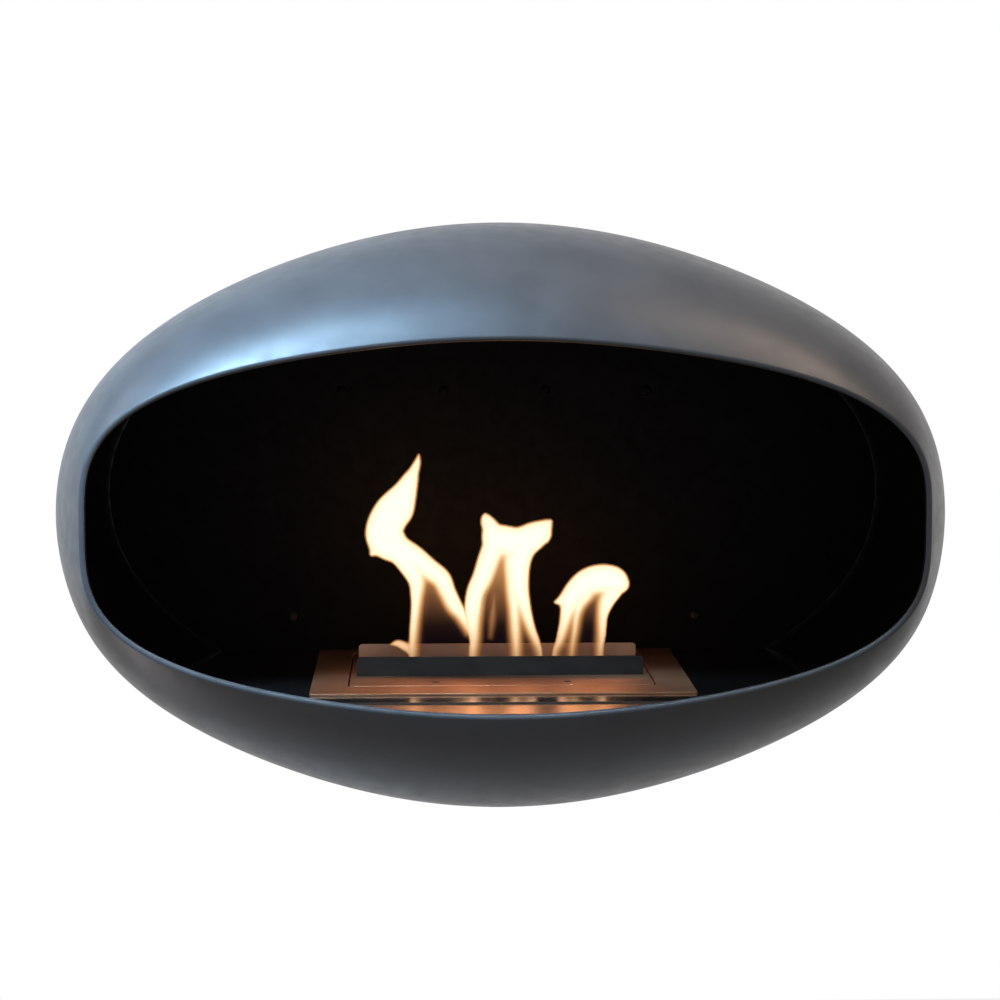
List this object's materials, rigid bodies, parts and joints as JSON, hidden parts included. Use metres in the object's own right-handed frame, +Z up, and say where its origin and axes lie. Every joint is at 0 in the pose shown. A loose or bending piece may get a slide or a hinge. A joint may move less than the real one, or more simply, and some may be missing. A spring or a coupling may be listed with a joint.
{
  "type": "wall-hung bioethanol fireplace",
  "caption": "Wide oval steel cocoon fireplace hung on a wall, open at the front, with a lift-out ethanol burner, flame guards and a sliding lid that puts the flames out.",
  "frame": {"origin": "middle of the wall plate's back face, on the wall, level with the middle of the shell", "axes": "+X to the viewer's right along the wall, +Y into the wall, +Z up; the mouth faces -Y"},
  "size_m": [0.888, 0.4108, 0.588],
  "materials": {
    "shell_paint": "satin gunmetal black powder coat with a soft sheen",
    "chamber_black": "heat-proof black paint, half gloss on the floor",
    "bracket_black": "matt black powder coat",
    "stainless": "brushed stainless steel",
    "dark_steel": "heat-darkened black steel, satin",
    "zinc": "zinc-plated fasteners",
    "rubber": "matt black rubber",
    "ceramic_wool": "soft off-white ceramic fibre",
    "gasket": "grey glass-fibre sheet"
  },
  "bodies": {
    "stove": {"shell": "shell_paint", "back_frame": "chamber_black", "back_panel": "chamber_black", "panel_screw_1": "zinc", "panel_screw_2": "zinc", "panel_screw_3": "zinc", "panel_screw_4": "zinc", "panel_screw_5": "zinc", "panel_screw_6": "zinc", "panel_screw_7": "zinc", "panel_screw_8": "zinc", "wall_plate": "bracket_black", "hook_rail": "bracket_black", "rail_rivet_1": "zinc", "rail_rivet_2": "zinc", "rail_rivet_3": "zinc", "rail_rivet_4": "zinc", "wall_buffer_left": "rubber", "wall_buffer_right": "rubber", "hearth_plate": "chamber_black", "front_sill": "chamber_black", "hearth_ledge_left": "chamber_black", "hearth_ledge_right": "chamber_black", "hearth_screw_1": "dark_steel", "hearth_screw_2": "dark_steel", "hearth_screw_3": "dark_steel", "hearth_screw_4": "dark_steel", "tray_plate": "stainless"},
    "burner": {"burner_plate": "stainless", "fuel_tank": "stainless", "tank_gasket": "gasket", "ceramic_wool": "ceramic_wool", "wool_grille": "dark_steel", "burner_screw_1": "dark_steel", "burner_screw_2": "dark_steel", "burner_screw_3": "dark_steel", "burner_screw_4": "dark_steel", "front_guard": "dark_steel", "rear_guard": "dark_steel", "lid_guide_left": "dark_steel", "lid_guide_right": "dark_steel"},
    "lid": {"lid_plate": "stainless", "lid_pull": "stainless", "pull_rivet_1": "zinc", "pull_rivet_2": "zinc"}
  },
  "joints": [
    {"name": "burner_lift", "type": "slide", "parent": "stove", "child": "burner", "axis": [0, 0, 1], "range_m": [0, 0.075]},
    {"name": "lid_slide", "type": "slide", "parent": "burner", "child": "lid", "axis": [0, 1, 0], "range_m": [0, 0.042]}
  ]
}
